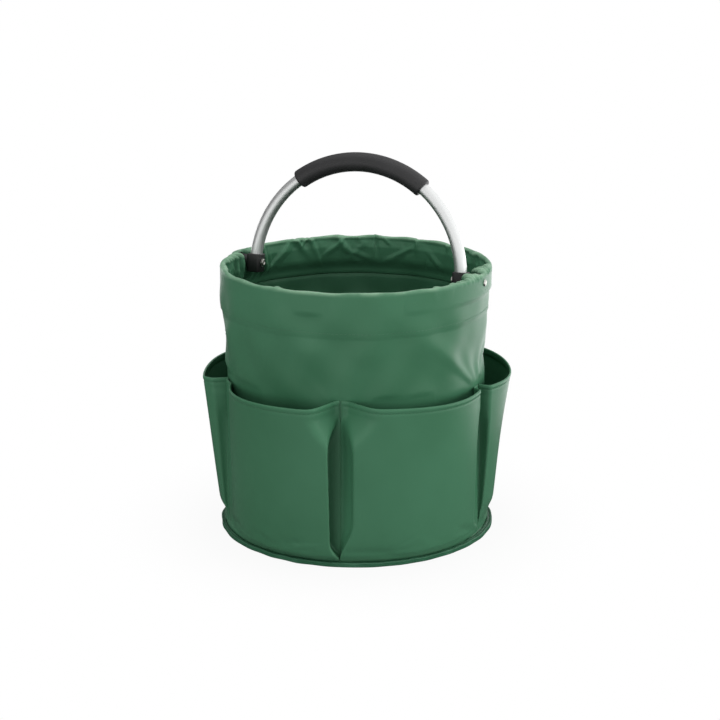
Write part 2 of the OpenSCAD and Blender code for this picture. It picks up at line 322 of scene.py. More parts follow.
def rounded_path(corners, radius, count):
    """Points along a line through corners, each rounded from a distance before it to as far after it."""
    corners = np.array(corners, float)
    legs = np.diff(corners, axis=0)
    lengths = np.maximum(np.linalg.norm(legs, axis=1), 1e-6)
    t = np.linspace(0, 1, 9)[:, None]
    line = [corners[:1]]
    for k in range(1, len(corners) - 1):
        before = corners[k] - legs[k - 1] * min(radius / lengths[k - 1], 0.5)
        after = corners[k] + legs[k] * min(radius / lengths[k], 0.5)
        line.append(before * (1 - t) ** 2 + 2 * corners[k] * t * (1 - t) + after * t ** 2)
    return evenly(np.concatenate(line + [corners[-1:]]), count)


def soft_waves(rng, angle, height, fewest, most, tall, count):
    """Smooth random waves round the bag, about 1 high, with so many waves in a turn and so tall at least."""
    total = 0
    for _ in range(count):
        turns = rng.integers(fewest, most + 1)
        lean = rng.uniform(-1, 1) * WHOLE_TURN / tall
        total = total + np.cos(turns * angle + lean * height + rng.uniform(0, WHOLE_TURN))
    return total * math.sqrt(2 / count)


def settle(net, start, hold, across, along, rounds, closed, confine):
    """Lets a net of fabric take up its slack in folds, and returns where its points come to rest.

    The drawn net gives the lengths, which across and along make longer. hold is how firmly each
    point is kept to its drawn place, and confine keeps points clear of what they must not enter.
    """
    ties = []
    for rows, cols, firmness in ((0, 1, 0.5), (1, 0, 0.5), (1, 1, 0.2), (1, -1, 0.2),
                                 (0, 2, 0.3), (2, 0, 0.2), (0, 4, 0.2)):
        live = np.ones(net.shape[:2] + (1,))
        if rows:
            live[-rows:] = 0
        if cols > 0 and not closed:
            live[:, -cols:] = 0
        if cols < 0 and not closed:
            live[:, :-cols] = 0
        slack = across if not rows else along if not cols else (across + along) / 2
        drawn = np.linalg.norm(np.roll(net, (-rows, -cols), (0, 1)) - net, axis=2, keepdims=True)
        ties.append(((rows, cols), drawn * slack, live * firmness / 2))
    points = start.copy()
    for _ in range(rounds):
        for (rows, cols), length, firm in ties:
            apart = np.roll(points, (-rows, -cols), (0, 1)) - points
            now = np.maximum(np.linalg.norm(apart, axis=2, keepdims=True), 1e-6)
            pull = apart * firm * (1 - length / now)
            points += pull - np.roll(pull, (rows, cols), (0, 1))
        points += (net - points) * hold
        points = confine(points)
    return points


def kept_between(points, least, most):
    """Points moved in or out to lie between two radii round the bag's axis."""
    radius = np.hypot(points[..., 0], points[..., 1])
    scale = np.clip(radius, least, most) / np.maximum(radius, 1e-6)
    points[..., :2] *= scale[..., None]
    return points


# Finishes

def srgb(red, green, blue):
    """A colour as it looks on screen, 0 to 255, in the linear numbers that shaders take."""
    levels = [level / 255 for level in (red, green, blue)]
    return tuple(x / 12.92 if x <= 0.04045 else ((x + 0.055) / 1.055) ** 2.4 for x in levels) + (1,)


def adds_math(operation, turned=False):
    """A method that adds a Math node, with its two values turned round if asked."""
    def method(self, other=0.0):
        first, second = (other, self) if turned else (self, other)
        return self.nodes.node("ShaderNodeMath", {"operation": operation}, {0: first, 1: second})
    return method


class Wire:
    """A node's output, which takes part in Python expressions: each one adds a Math node."""

    def __init__(self, nodes, socket):
        self.nodes = nodes
        self.socket = socket

    __add__ = __radd__ = adds_math("ADD")
    __mul__ = __rmul__ = adds_math("MULTIPLY")
    __sub__ = adds_math("SUBTRACT")
    __rsub__ = adds_math("SUBTRACT", turned=True)
    __truediv__ = adds_math("DIVIDE")
    __rtruediv__ = adds_math("DIVIDE", turned=True)
    __pow__ = adds_math("POWER")
    __rpow__ = adds_math("POWER", turned=True)
    sine = adds_math("SINE")
    larger = adds_math("MAXIMUM")
    turn_from = adds_math("ARCTAN2")


class Nodes:
    """The nodes of a material or of the world."""

    def __init__(self, owner):
        self.owner = owner
        owner.use_nodes = True
        self.tree = owner.node_tree
        self.tree.nodes.clear()

    def node(self, kind, settings=None, sockets=None, out=0):
        """Adds a node: its settings are set first, then its sockets are given values or wires."""
        made = self.tree.nodes.new(kind)
        for name, value in (settings or {}).items():
            setattr(made, name, value)
        for name, value in (sockets or {}).items():
            if isinstance(value, Wire):
                self.tree.links.new(value.socket, made.inputs[name])
            else:
                made.inputs[name].default_value = value
        return Wire(self, made.outputs[out]) if made.outputs else None

    def place(self):
        return self.node("ShaderNodeTexCoord", out="Object")

    def axes(self, vector):
        return [self.node("ShaderNodeSeparateXYZ", sockets={0: vector}, out=i) for i in range(3)]

    def vector(self, x, y, z):
        return self.node("ShaderNodeCombineXYZ", sockets={0: x, 1: y, 2: z})

    def noise(self, place, scale, detail=2.0):
        return self.node("ShaderNodeTexNoise", sockets={"Vector": place, "Scale": scale, "Detail": detail})

    def spread(self, value, low, high, to_low=0.0, to_high=1.0):
        """A value stretched from one range to another, and kept inside it."""
        ranges = {0: value, 1: low, 2: high, 3: to_low, 4: to_high}
        return self.node("ShaderNodeMapRange", {"interpolation_type": "SMOOTHSTEP"}, ranges)

    def mix(self, share, first, second):
        """Two colours mixed."""
        return self.node("ShaderNodeMix", {"data_type": "RGBA"}, {0: share, 6: first, 7: second}, out=2)

    def bump(self, height, strength, distance):
        sockets = {"Height": height, "Strength": strength, "Distance": distance}
        return self.node("ShaderNodeBump", sockets=sockets)

    def surface(self, sockets):
        """Ends a material with a plain surface, and returns the material."""
        shader = self.node("ShaderNodeBsdfPrincipled", sockets=sockets)
        self.node("ShaderNodeOutputMaterial", sockets={"Surface": shader})
        return self.owner


def new_finish(name):
    return Nodes(bpy.data.materials.new(name))


def coated_fabric(name, deep, light):
    """Woven cloth under a satin plastic coat: fine weave, clouded colour, edge wear and painted highlight on
    folds, painted highlight on the rim, dusty foot.
    """
    threads_round = 700
    thread_pitch = 1.3 * MM
    nodes = new_finish(name)
    place = nodes.place()
    x, y, z = nodes.axes(place)
    turn = y.turn_from(x)
    weave = (turn * threads_round).sine() * (z * (WHOLE_TURN / thread_pitch)).sine()
    grain = nodes.noise(place, 900.0)
    clouds = nodes.noise(place, 7.0, 3.0)
    mottle = nodes.noise(place, 45.0, 4.0)
    # Convex folds and edges are lightened: partly edge wear, partly a painted highlight on the fold tops.
    worn_and_lit_edges = nodes.spread(nodes.node("ShaderNodeNewGeometry", out="Pointiness"), 0.53, 0.66)
    colour = nodes.mix(nodes.spread(clouds, 0.3, 0.7), deep, light)
    colour = nodes.mix(worn_and_lit_edges * (0.2 + mottle * 0.3), colour, srgb(112, 156, 124))
    # Painted highlight along the top of the rim fold, made patchy by the mottle.
    painted_rim_highlight = nodes.spread(z, body_h - 5 * MM, body_h + 0.5 * MM)
    painted_rim_highlight = painted_rim_highlight * nodes.spread(mottle, 0.25, 0.7, 0.15, 0.75)
    colour = nodes.mix(painted_rim_highlight, colour, srgb(132, 164, 138))
    dust = nodes.spread(z, 0.0, 14 * MM, 0.16, 0.0) * nodes.spread(mottle, 0.4, 0.65)
    colour = nodes.mix(dust, colour, srgb(108, 122, 104))
    return nodes.surface({
        "Base Color": colour,
        "Roughness": 0.34 + clouds * 0.1 + mottle * 0.06 + dust * 0.4,
        "Specular IOR Level": 0.28,
        "Normal": nodes.bump(weave * 0.25 + grain * 0.8 + mottle * 0.3, 0.2, 0.4 * MM),
    })


def binding_tape():
    """Ribbed woven tape."""
    ribs_round = 1150
    nodes = new_finish("binding_tape")
    place = nodes.place()
    x, y, z = nodes.axes(place)
    ribs = (y.turn_from(x) * ribs_round).sine()
    fuzz = nodes.noise(place, 600.0)
    wear = nodes.spread(nodes.noise(place, 38.0, 4.0), 0.45, 0.7)
    return nodes.surface({
        "Base Color": nodes.mix(wear * 0.6, srgb(38, 86, 61), srgb(62, 110, 84)),
        "Roughness": 0.3 + fuzz * 0.2,
        "Specular IOR Level": 0.45,
        "Normal": nodes.bump(ribs * 0.5 + fuzz, 0.5, 0.4 * MM),
    })


def sewing_thread():
    """Twisted polyester thread."""
    nodes = new_finish("sewing_thread")
    place = nodes.place()
    twist = nodes.noise(place, 1500.0, 1.0)
    return nodes.surface({
        "Base Color": nodes.mix(twist, srgb(40, 84, 58), srgb(62, 106, 78)),
        "Roughness": 0.45 + twist * 0.2,
        "Normal": nodes.bump(twist, 0.4, 0.2 * MM),
    })


def stiffener_board():
    """Pressed plastic sheet with a leathery grain."""
    nodes = new_finish("stiffener")
    place = nodes.place()
    cells = {"Vector": place, "Scale": 520.0}
    grain = nodes.node("ShaderNodeTexVoronoi", {"feature": "DISTANCE_TO_EDGE"}, cells)
    scuffs = nodes.spread(nodes.noise(place, 18.0, 6.0), 0.5, 0.72)
    return nodes.surface({
        "Base Color": nodes.mix(scuffs * 0.4, srgb(34, 44, 39), srgb(78, 88, 82)),
        "Roughness": 0.5 + scuffs * 0.2,
        "Normal": nodes.bump(grain, 0.35, 0.3 * MM),
    })


def satin_aluminium():
    """Drawn tube, polished along its length, with fine lengthwise lines."""
    nodes = new_finish("satin_aluminium")
    x, y, z = nodes.axes(nodes.place())
    up = z - pivot_z
    rise = up * math.cos(handle_lean) + y * math.sin(handle_lean) + bend_drop
    back = y * math.cos(handle_lean) - up * math.sin(handle_lean)
    along = x.turn_from(rise)
    out = (x * x + rise * rise) ** 0.5
    lines = nodes.noise(nodes.vector(out * 1400.0, back * 1400.0, along * 6.0), 1.0, 3.0)
    handling = nodes.noise(nodes.place(), 30.0, 4.0)
    return nodes.surface({
        "Base Color": nodes.mix(lines, srgb(222, 224, 223), srgb(244, 245, 245)),
        "Metallic": 1.0,
        "Roughness": 0.38 + lines * 0.1 + handling * 0.08,
        "Normal": nodes.bump(lines, 0.06, 0.2 * MM),
    })


def grip_foam():
    """Closed-cell foam, matt, with fine pores and a little palm shine."""
    nodes = new_finish("grip_foam")
    place = nodes.place()
    pores = nodes.node("ShaderNodeTexVoronoi", {"feature": "F1"}, {"Vector": place, "Scale": 900.0})
    soft = nodes.noise(place, 420.0, 3.0)
    worn = nodes.noise(place, 40.0, 3.0)
    return nodes.surface({
        "Base Color": nodes.mix(worn, srgb(25, 25, 26), srgb(40, 40, 41)),
        "Roughness": 0.44 + worn * 0.16,
        "Normal": nodes.bump(pores * 0.6 + soft, 0.14, 0.3 * MM),
    })


def moulded_nylon():
    """Black moulded plastic with a spark-eroded grain."""
    nodes = new_finish("moulded_nylon")
    place = nodes.place()
    grain = nodes.noise(place, 1100.0, 2.0)
    rub = nodes.spread(nodes.noise(place, 120.0, 3.0), 0.5, 0.75)
    return nodes.surface({
        "Base Color": nodes.mix(rub * 0.5, srgb(13, 14, 14), srgb(40, 42, 41)),
        "Roughness": 0.38 + grain * 0.15,
        "Normal": nodes.bump(grain, 0.25, 0.2 * MM),
    })


def rivet_steel():
    """Nickel-plated steel with fine scratches."""
    nodes = new_finish("rivet_steel")
    place = nodes.place()
    scratches = nodes.noise(place, 1600.0, 2.0)
    tarnish = nodes.noise(place, 260.0, 3.0)
    return nodes.surface({
        "Base Color": nodes.mix(tarnish, srgb(160, 160, 154), srgb(206, 206, 201)),
        "Metallic": 1.0,
        "Roughness": 0.26 + scratches * 0.16,
        "Normal": nodes.bump(scratches, 0.1, 0.1 * MM),
    })


leaf_deep = srgb(51, 97, 70)
leaf_light = srgb(58, 105, 78)
fabric_finish = coated_fabric("coated_fabric", leaf_deep, leaf_light)
tape_finish = binding_tape()
thread_finish = sewing_thread()
board_finish = stiffener_board()
tube_finish = satin_aluminium()
foam_finish = grip_foam()
nylon_finish = moulded_nylon()
steel_finish = rivet_steel()


# Sewing

def stitch_row(name, path, outward, closed=False):
    """A row of stitches along a path on the fabric, each a short thread that dips at both ends."""
    if closed:
        path = np.vstack([path, path[:1]])
        outward = np.vstack([outward, outward[:1]])
    run = run_along(path)
    count = int(run[-1] / stitch_pitch)
    middle = (np.arange(count) + 0.5) * run[-1] / count
    start = at_run(middle - stitch_l / 2, run, path)
    end = at_run(middle + stitch_l / 2, run, path)
    lift = unit(at_run(middle, run, outward))
    side = unit(np.cross(lift, end - start))
    along = np.linspace(-1, 1, 7)
    around = np.linspace(0, WHOLE_TURN, 8, endpoint=False)
    girth = thread_r * np.sqrt(1 - 0.9 * along ** 2)
    share = ((along + 1) / 2)[None, :, None]
    spine = start[:, None] * (1 - share) + end[:, None] * share
    spine = spine + lift[:, None] * (shown_t / 2 + thread_r * (0.7 - along ** 2))[None, :, None]
    ring = (side[:, None, None] * np.cos(around)[None, None, :, None]
            + lift[:, None, None] * np.sin(around)[None, None, :, None])
    points = spine[:, :, None] + ring * girth[None, :, None, None]
    body = np.array(net_faces(len(along), len(around), True))
    step = len(along) * len(around)
    faces = (body[None] + (np.arange(count) * step)[:, None, None]).reshape(-1, 4).tolist()
    for k in range(count):
        first = k * step
        last = first + step - len(around)
        faces.append(list(range(first + len(around) - 1, first - 1, -1)))
        faces.append(list(range(last, last + len(around))))
    return new_piece(name, points, faces, thread_finish)


# Side wall with its gathered hem

def wall_radius(z):
    """Outside radius of the wall at a height."""
    upper = waist_r + (rim_r - waist_r) * ease((z - waist_z) / (shoulder_z - waist_z))
    lower = foot_r + (waist_r - foot_r) * ease(z / waist_z)
    return np.where(z >= waist_z, upper, lower)


def short_turn(angle, centre):
    """Turn from one angle to others, at most half round."""
    return (angle - centre + math.pi) % WHOLE_TURN - math.pi


def from_angle(angle, centre):
    """Distance round the rim from one angle to others."""
    return short_turn(angle, centre) * rim_r


def rim_gathers(rng, angle, z):
    """Tucks of the hem: close, deeper ones by both pivots, and lone ones that lean anyhow."""
    tucks = []
    for side in (0, math.pi):
        for beside, depth in gather_depths:
            centre = side + (beside + rng.uniform(-1, 1)) * MM / rim_r
            tucks.append((centre, depth * rng.uniform(0.9, 1.1), rng.uniform(1.9, 2.7) * MM,
                          rng.uniform(0.7, 1.4), rng.uniform(-0.15, 0.15), rng.uniform(24, 34) * MM))
    for _ in range(lone_tucks):
        tucks.append((rng.uniform(0, WHOLE_TURN), rng.uniform(0.3, 0.8), rng.uniform(2.2, 4.5) * MM,
                      rng.uniform(0.4, 2.4), rng.uniform(-1.0, 1.0), rng.uniform(9, 26) * MM))
    total = 0
    down = np.maximum(body_h - z, 0)
    for centre, depth, width, skew, lean, reach in tucks:
        away = from_angle(angle, centre) - lean * down
        half = width * (1 + 0.5 * down / reach)
        half = np.where(away > 0, half * skew, half / skew)
        total = total + depth * np.exp(-(away / half) ** 2 - (down / reach) ** 2)
    return np.minimum(total, deepest_tuck)


def ridge(right, above, lean, half_w, half_l, skew):
    """A sharp fold, 1 high, steeper on one side, from distances to the right of its middle and above it."""
    across = (right * math.cos(lean) - above * math.sin(lean)) / half_w
    along = (right * math.sin(lean) + above * math.cos(lean)) / half_l
    across = np.where(across > 0, across / skew, across)
    return np.maximum(1 - np.abs(across), 0) * np.exp(-along ** 2)


def creases(rng, beside, up, spots, least_lean, most_lean):
    """Sharp creases, about 1 high, at spots on a sheet of fabric."""
    total = 0
    for spot_beside, spot_up in spots:
        shape = (rng.uniform(least_lean, most_lean), rng.uniform(2.5, 8) * MM, rng.uniform(6, 18) * MM,
                 rng.uniform(0.4, 1.0))
        total = total + rng.uniform(-0.7, 1.0) * ridge(beside(spot_beside), up - spot_up, *shape)
    return total


def corner_pulls(rng, angle, z):
    """Soft folds, up to about 1 high, that fan out over the wall above the top of each pocket seam."""
    total = 0
    up = np.maximum(z - pocket_h + 8 * MM, 0)
    for seam, strength in enumerate((1.0, 0.5, 0.6, 0.5, 0.1)):
        for lean in (-1.1, -0.5, 0.4, 0.9):
            slope = lean + rng.uniform(-0.2, 0.2)
            rise = up / (rng.uniform(16, 30) * MM)
            away = from_angle(angle, pocket_seams[seam]) - slope * up
            half = 3 * MM + 0.2 * up
            fold = rng.uniform(0.5, 1) * np.exp(-(away / half) ** 2) * rise * np.exp(1 - rise)
            total = total + strength * fold
    return total


# Rows of the wall's net: height and radius, the part of the wall each lies on, how near the rows of the hem
# are to its sewn edge and how deep they lie in the wall, and the turn of the rows over the hoop
wall_angle = np.linspace(0, WHOLE_TURN, wall_cols, endpoint=False)[None, :]
WallRows = namedtuple("WallRows", "z r outside on_fold on_hem sewn buried bend")


def wall_rows():
    """Rows up the wall, over the hoop at the rim and down the inside to the sewn edge of the hem."""
    wall_z = np.concatenate([[2.6 * MM], np.linspace(5 * MM, pocket_h - 4 * MM, 22),
                             np.linspace(pocket_h, fold_z - 1.5 * MM, 46)])
    bend = np.radians(np.linspace(0, 180, 9))
    hem_z = np.linspace(fold_z - 1.7 * MM, hem_low_z, 26)
    fold_mid_r = fold_r - fabric_t / 2
    sewn = ease((hem_sewn_z + 10 * MM - hem_z) / (13 * MM))
    buried = np.interp(hem_z, [hem_low_z, hem_low_z + 4 * MM], [0.75, 1.45]) * MM
    slumped_r = hem_mid_r + 1 * MM - by_height(hem_z, hem_slump_steps) * MM
    hem_r = slumped_r * (1 - sewn) + (wall_radius(hem_z) - buried) * sewn
    r = np.concatenate([wall_radius(wall_z) - fabric_t / 2,
                        rim_r - fold_r + fold_mid_r * np.cos(bend), hem_r])
    r[0] = flange_r - 2 * MM
    z = np.concatenate([wall_z, fold_z + fold_mid_r * np.sin(bend), hem_z])
    row = np.arange(len(z))
    outside = row < len(wall_z)
    on_hem = row >= len(wall_z) + len(bend)
    return WallRows(z, r, outside, ~(outside | on_hem), on_hem, sewn, buried, bend)


def held_by_rivets(z):
    """1 round the pivots, where the rivets hold the fabric flat, and 0 away from them."""
    held = 0
    for side in (0, math.pi):
        beside = from_angle(wall_angle, side)
        held = held + np.exp(-(np.hypot(beside, z[:, None] - pivot_z) / rivet_hold_r) ** 6)
    return held


def wall_relief(rng, rows):
    """How far the wall stands out: its lap seam, the sewn line of the hem, soft folds and the slack side."""
    z = rows.z
    lap = ease((lap_half_w - np.abs(from_angle(wall_angle, lap_angle))) / (1.2 * MM)) * fabric_t * 0.5
    dent = np.exp(-((z - hem_stitch_z) / (1.6 * MM)) ** 2) * 0.3 * MM
    below_hem = rows.outside & (z < hem_low_z)
    dent[below_hem] += ease(1 - (hem_low_z - z[below_hem]) / (22 * MM)) * fabric_t
    broad = soft_waves(rng, wall_angle, z[:, None], fewest=3, most=10, tall=0.2, count=9)
    dents = soft_waves(rng, wall_angle, z[:, None], fewest=6, most=20, tall=0.05, count=12)
    loose = by_height(z, loose_steps) * MM
    relief = lap - dent[:, None] + (broad + 0.8 * dents) * loose[:, None]
    relief = relief + corner_pulls(rng, wall_angle, z[:, None]) * 2.6 * MM
    slack_side = np.exp(-(from_angle(wall_angle, drawn_in_angle) / drawn_in_half_w) ** 2)
    return relief - slack_side * (drawn_in * by_height(z, drawn_in_steps))[:, None]


def wall_limits(rows, relief, stand_out):
    """Least and most radius of the wall's points: outside the hoop, and inside it clear of the handle."""
    by_hoop = rows.z > hoop_low.z - 1 * MM
    beside_pivot = np.minimum(np.abs(from_angle(wall_angle, 0)), np.abs(from_angle(wall_angle, math.pi)))
    inner_r = np.where(beside_pivot < gather_half_w, gather_least_r, hem_least_r)
    inner_r = np.where(beside_pivot < hub_clear, hub_least_r, inner_r)
    least = np.where(rows.outside, np.where(by_hoop, hoop_out_r + 0.5 * MM, rows.r - 8 * MM), 0)[:, None]
    least = np.maximum(least, inner_r * ~rows.outside[:, None])
    under_wall = wall_radius(rows.z)[:, None] + relief - 1.4 * MM
    under_wall[rows.on_hem] += (1.45 * MM - rows.buried)[:, None]
    most = np.where(by_hoop[:, None], hoop_in_r - 0.6 * MM, under_wall)
    most = np.where(rows.outside[:, None], (rows.r + stand_out)[:, None], most)
    most[rows.on_fold] = rim_r + 1 * MM
    return least, most


def hem_creases(rng, z):
    """Sharp creases all round the hem and closer by the pivots, and its lone folds."""
    by_pivots = rng.uniform(-60, 60, 2 * gather_crease_count) * MM / rim_r
    by_pivots[::2] += math.pi
    places = np.concatenate([rng.uniform(0, WHOLE_TURN, hem_crease_count), by_pivots])
    spots = np.column_stack([places, body_h - rng.uniform(0, 32 * MM, len(places))])
    creased = creases(rng, lambda spot: from_angle(wall_angle, spot), z[:, None], spots, -1.3, 1.3)
    for fold in hem_folds:
        beside = from_angle(wall_angle, math.radians(fold.angle))
        creased = creased + fold.depth * ridge(beside, z[:, None] - fold.z * MM, fold.lean, fold.half_w * MM,
                                               fold.half_l * MM, fold.skew)
    return creased


def side_wall():
    """One sheet: up the wall, over the hoop at the rim and down the inside to the sewn edge of the hem."""
    rng = np.random.default_rng(11)
    rows = wall_rows()
    z, outside, on_fold, on_hem = rows.z, rows.outside, rows.on_fold, rows.on_hem
    near_rivet = held_by_rivets(z)

    # Behind the pockets the wall stays inside them
    stand_out = np.interp(z, [pocket_h + 6 * MM, pocket_h + 18 * MM], [0.1 * MM, wall_stands_out])
    relief = wall_relief(rng, rows)
    relief = np.minimum(relief, np.where(outside, stand_out, wall_stands_out)[:, None])

    # Tucks of the hem lift the rim and wobble along it
    pleats = rim_gathers(rng, wall_angle, z[:, None]) * (1 - near_rivet)
    shares = by_height(z, tuck_steps) * MM
    shares[on_hem] = tuck_h * (1 - rows.sewn)
    shares[on_fold] = np.linspace(0.8, 6.0, len(rows.bend)) * MM
    lift = np.zeros(len(z))
    lift[on_fold] = np.sin(rows.bend) * tuck_lift
    wobble = soft_waves(rng, wall_angle, 0, fewest=4, most=24, tall=1.0, count=12)
    relief = relief * ~on_fold[:, None]
    net = round_axis(rows.r[:, None] + relief - pleats * shares[:, None], wall_angle,
                     z[:, None] + (pleats - 0.35 + 0.35 * wobble) * lift[:, None])

    across = by_height(z, wall_slack_steps)
    across[on_fold] = 1.008
    across[on_hem] = by_height(z[on_hem], hem_slack_steps)
    hold = by_height(z, wall_hold_steps)
    hold[on_fold] = 0.03
    hold[on_hem] = by_height(z[on_hem], hem_hold_steps)
    hold = np.maximum(hold[:, None], np.minimum(near_rivet, 1))
    patches = np.maximum(soft_waves(rng, wall_angle, 0, fewest=3, most=14, tall=1.0, count=8), 0)
    along = 1 + 0.03 * (on_hem[:, None] * patches)[..., None]

    # Slanting waves start the crumples of the hem
    close = soft_waves(rng, wall_angle, z[:, None], fewest=9, most=40, tall=0.035, count=20)
    push = close * (on_hem * 1.2 * MM + on_fold * 0.3 * MM)[:, None]
    start = net + round_axis(push * (1 - hold), wall_angle, 0)
    least, most = wall_limits(rows, relief, stand_out)

    def confine(points):
        points = kept_between(points, least, most)
        points[on_fold, :, 2] = np.clip(points[on_fold, :, 2], fold_z - 1 * MM, body_h + 1.5 * MM)
        return points

    net = settle(net, start, hold[..., None], across[:, None, None], along, rounds=120, closed=True,
                 confine=confine)
    creased = hem_creases(rng, z) * (1 - np.minimum(near_rivet, 1))
    crease_depth = np.zeros(len(z))
    crease_depth[on_hem] = hem_crease_h * (1 - rows.sewn)
    crease_depth[on_fold] = np.linspace(0.1, 1.8, len(rows.bend)) * MM
    net = net - round_axis(creased * crease_depth[:, None], wall_angle, creased * lift[:, None] * 0.5)
    net = confine(net)
    return fabric_piece("bag_wall", net, True, fabric_finish), wall_stitches(net, z, outside)


def wall_stitches(net, z, outside):
    """The sewn line of the hem, and a row on both sides of the lap seam."""
    normal = net_normals(net, True)
    hem_row = int(np.argmin(np.abs(z[outside] - hem_stitch_z)))
    seam_col = int(round(lap_angle / WHOLE_TURN * wall_cols))
    above = outside & (z > 8 * MM)
    sewing = [stitch_row("hem_stitches", net[hem_row], normal[hem_row], True)]
    for col, name in ((seam_col - 2, "lap_seam_stitches_front"), (seam_col + 2, "lap_seam_stitches_back")):
        sewing.append(stitch_row(name, net[above, col], normal[above, col]))
    return sewing


# Pockets

def gusset_path(gusset, stand, z):
    """A pocket's side at a height, from seam to face: distances from the seam and shares of the stand."""
    below = ease((valley_top_z - z) / valley_top_h) ** 0.8
    left = gusset.top + (1 - gusset.top) * below
    opened = ease((z - valley_low_z) / (gusset.foot * MM))
    pulled = 1 - left
    fold = (gusset.valley * left * opened + 0.26 * gusset.mouth * pulled) * MM
    middle = max(fold + (gusset.crease * below - 3.5 * (1 - below)) * MM * opened, 0.3 * fold)
    fold_stand = stand * gusset.edge * (1 - 0.94 * pulled ** 2)
    full = (fold + 2 * MM + (1 - gusset.edge) * 32 * MM) * below + gusset.mouth * MM * (1 - below)
    full = max(full, fold + 0.5 * MM)
    line = rounded_path([(0, 0), (gusset.floor * middle, 0.02 * fold_stand),
                         (middle, 0.5 * fold_stand), (fold, fold_stand), (full, stand),
                         (full + 16 * MM, stand)], (gusset.soft * left + 9 * pulled) * MM, side_cols)
    away, out = line.T
    rolled = 1 - ease((z - 4.8 * MM) / (3 * MM))
    share = out / stand
    return away, share + (1 - share) * rolled


pocket_levels = np.concatenate([
    np.linspace(6 * MM, 30 * MM, 14), np.linspace(33 * MM, pocket_h - 12 * MM, 38),
    pocket_h - np.array([10, 8.4, 7, 5.8, 4.9, 4.2, 3.5, 2.6, 1.7, 0.8]) * MM])


def seam_space(z):
    """Half the space left between neighbouring pockets at their seam, where a slit opens at the top."""
    return seam_gap + slit_gap * ease((z - pocket_h + slit_h) / (7 * MM))


def pocket_span(index):
    """The angle of a pocket's middle, and from there to its seams."""
    middle = (pocket_seams[index] + pocket_seams[index + 1]) / 2
    return middle, pocket_seams[index + 1] - middle


def pocket_net(name, index, rng):
    """A pocket's panel, from the base seam up to its mouth, sewn to the wall at both sides."""
    form = pocket_forms[name]
    middle, half = pocket_span(index)
    seam_half = half - math.asin(seam_gap / waist_r)
    rise_first, rise_last = mouth_rise[index], mouth_rise[(index + 1) % len(mouth_rise)]
    whole_width = np.linspace(-1, 1, 400)
    face_waves = [soft_waves(rng, whole_width, 0, fewest=1, most=5, tall=1.0, count=4) for _ in range(4)]

    def fullness(across):
        return np.clip(form.fullness + form.lean * across + form.crown * across ** 2, 0.1, 1.3)

    rows = []
    for radius, z in ((flange_r - 2 * MM, seam_z), (flange_r - 5 * MM, seam_z + 0.3 * MM)):
        rows.append(round_axis(radius, middle + seam_half * whole_width, z))
    for z in pocket_levels:
        up = (z - binding_h) / (pocket_h - binding_h)
        seam_half = half - math.asin(seam_space(z) / waist_r)
        around_r = wall_radius(z) + 12 * MM
        swell = ease((z - (3 + 0.23 * form.swell) * MM) / (form.swell * MM)) ** 0.7
        most = (form.foot * MM + (pocket_bulge - form.foot * MM) * up) * swell
        first_away, first_share = gusset_path(form.first, max(most * fullness(-1), 1 * MM), z)
        last_away, last_share = gusset_path(form.last, max(most * fullness(1), 1 * MM), z)
        first_across = first_away / around_r / seam_half - 1
        last_across = 1 - last_away[::-1] / around_r / seam_half
        face = np.linspace(first_across[-1], last_across[0], face_cols)
        across = np.concatenate([first_across, face[1:-1], last_across])
        share = np.concatenate([first_share, np.ones(len(face) - 2), last_share[::-1]])
        waves = [np.interp(across, whole_width, wave) for wave in face_waves]
        stand = most * fullness(across)
        from_flat = from_angle(middle + seam_half * across, flat_roll_angle)
        flatter = 1 - 0.7 * np.exp(-(from_flat / flat_roll_half_w) ** 2)
        roll = roll_out * math.exp(-((z - roll_z) / roll_half_h) ** 2) * flatter
        groove = np.exp(-((z - groove_z - 4 * MM * waves[1]) / groove_half_h) ** 2)
        groove = groove * np.maximum(0.5 + 0.6 * waves[0], 0) * MM
        ripple = (waves[1] * math.sin(3 * up) + waves[2] * math.cos(5 * up)) * 0.8 * MM
        radius = wall_radius(z) + 0.6 * MM + np.maximum(stand + roll - groove + ripple, 0.4 * MM) * share
        droop = 1.4 * MM * (1 - across ** 2) * (1 + 0.4 * waves[3])
        rise = rise_first + (rise_last - rise_first) * ease((across + 1) / 2) - droop
        rows.append(round_axis(radius, middle + seam_half * across, z + rise * max(up, 0) ** 3))
    return np.array([evenly(row, pocket_cols) for row in rows])


